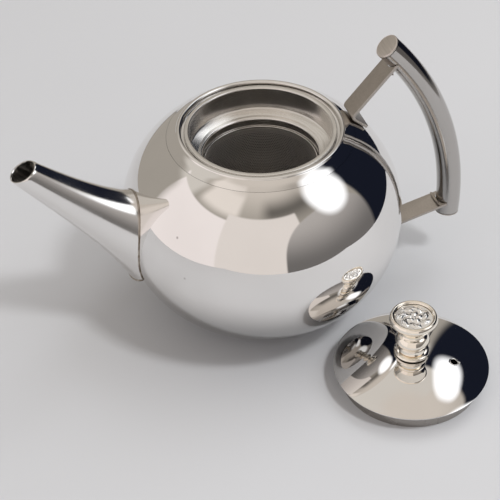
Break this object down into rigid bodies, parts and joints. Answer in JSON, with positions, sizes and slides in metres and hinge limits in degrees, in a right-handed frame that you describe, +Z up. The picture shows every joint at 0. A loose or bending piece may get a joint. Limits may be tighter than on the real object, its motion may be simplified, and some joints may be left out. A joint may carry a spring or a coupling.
{
  "type": "teapot with strainer basket",
  "caption": "Round polished steel teapot with a straight flared spout, a bowed tube handle on two straps, a lift-out mesh strainer basket in its mouth and a knobbed lid beside it.",
  "frame": {"origin": "centre of the pot's flat base, on the table", "axes": "+Z up along the pot's axis, +X towards the handle, -X towards the spout, +Y away from the lid"},
  "size_m": [0.2312, 0.1902, 0.1441],
  "materials": {
    "body_shell": "mirror-polished stainless steel",
    "mouth_collar": "mirror-polished stainless steel",
    "spout": "mirror-polished stainless steel",
    "spout_weld": "ground weld metal",
    "handle_tube": "polished stainless steel",
    "handle_cap_top": "satin stainless steel",
    "handle_cap_bottom": "satin stainless steel",
    "upper_bracket": "satin stainless steel",
    "lower_bracket": "satin stainless steel",
    "upper_weld": "raw weld metal",
    "lower_weld": "raw weld metal",
    "strainer_cup": "satin stainless steel",
    "mesh_wall": "fine stainless steel mesh",
    "mesh_floor": "fine stainless steel mesh",
    "mesh_hem": "satin stainless steel",
    "lid_dome": "mirror-polished stainless steel",
    "lid_skirt": "satin stainless steel",
    "knob_foot": "polished cast metal, warm nickel tint",
    "knob_body": "polished cast metal, warm nickel tint",
    "knob_medallion": "cast floral relief",
    "knob_screw": "plain steel",
    "knob_washer": "plain steel"
  },
  "bodies": {
    "pot": {"body_shell": "body_shell", "mouth_collar": "mouth_collar", "spout": "spout", "spout_weld": "spout_weld", "handle_tube": "handle_tube", "handle_cap_top": "handle_cap_top", "handle_cap_bottom": "handle_cap_bottom", "upper_bracket": "upper_bracket", "lower_bracket": "lower_bracket", "upper_weld": "upper_weld", "lower_weld": "lower_weld"},
    "strainer": {"strainer_cup": "strainer_cup", "mesh_wall": "mesh_wall", "mesh_floor": "mesh_floor", "mesh_hem": "mesh_hem"},
    "lid": {"lid_dome": "lid_dome", "lid_skirt": "lid_skirt", "knob_foot": "knob_foot", "knob_body": "knob_body", "knob_medallion": "knob_medallion", "knob_screw": "knob_screw", "knob_washer": "knob_washer"}
  },
  "joints": [
    {"name": "strainer_lift", "type": "slide", "parent": "pot", "child": "strainer", "axis": [0, 0, 1], "range_m": [0, 0.09]},
    {"name": "lid_lift", "type": "slide", "parent": "pot", "child": "lid", "axis": [0.2557, -0.4299, 0.8659], "range_m": [0, 0.1]}
  ]
}
